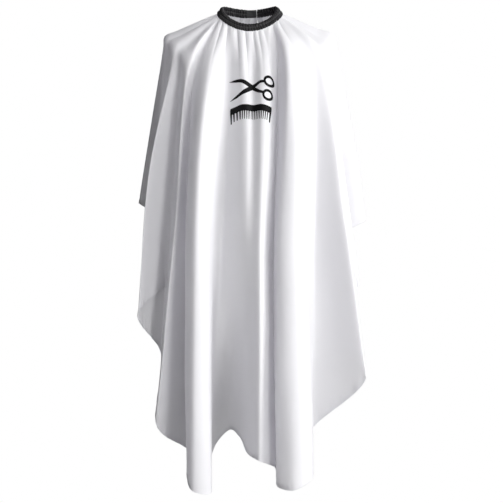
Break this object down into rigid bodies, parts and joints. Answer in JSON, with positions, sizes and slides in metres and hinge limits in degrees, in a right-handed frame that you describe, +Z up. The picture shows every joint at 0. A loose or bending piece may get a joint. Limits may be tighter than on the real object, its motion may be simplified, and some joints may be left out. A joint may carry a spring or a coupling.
{
  "type": "barber cape",
  "caption": "Long hairdressing cape: one cut of light cloth gathered into a ruched elastic neckband that snaps shut at the back, with a plain comb and scissors print on the chest.",
  "frame": {"origin": "the middle of the neck opening, on the neckband's mean level", "axes": "+Z up along the wearer's neck, -Y the way the wearer faces, +X to the wearer's left"},
  "size_m": [0.5697, 0.4595, 1.1472],
  "materials": {
    "white_cloth": "satin",
    "black_print": "satin",
    "black_casing": "matte",
    "elastic": "matte",
    "black_tape": "matte",
    "white_tab": "satin",
    "snap_metal": "polished"
  },
  "bodies": {
    "cape": {"cape_panel": "white_cloth", "chest_print": "black_print", "neckband_casing": "black_casing", "neckband_elastic": "elastic", "end_tape": "black_tape", "stud_tape": "black_tape", "snap_post_1": "snap_metal", "snap_post_2": "snap_metal", "snap_post_3": "snap_metal", "snap_stud_1": "snap_metal", "snap_stud_2": "snap_metal", "snap_stud_3": "snap_metal"},
    "closure_tab": {"closure_tab": "white_tab", "snap_cap": "snap_metal", "snap_socket": "snap_metal"}
  },
  "joints": [
    {"name": "tab_hinge", "type": "hinge", "parent": "cape", "child": "closure_tab", "pos_m": [-0.00385, 0.05986, 0.01126], "axis": [0.0037, -0.0885, 0.9961], "range_deg": [0, 110]}
  ]
}
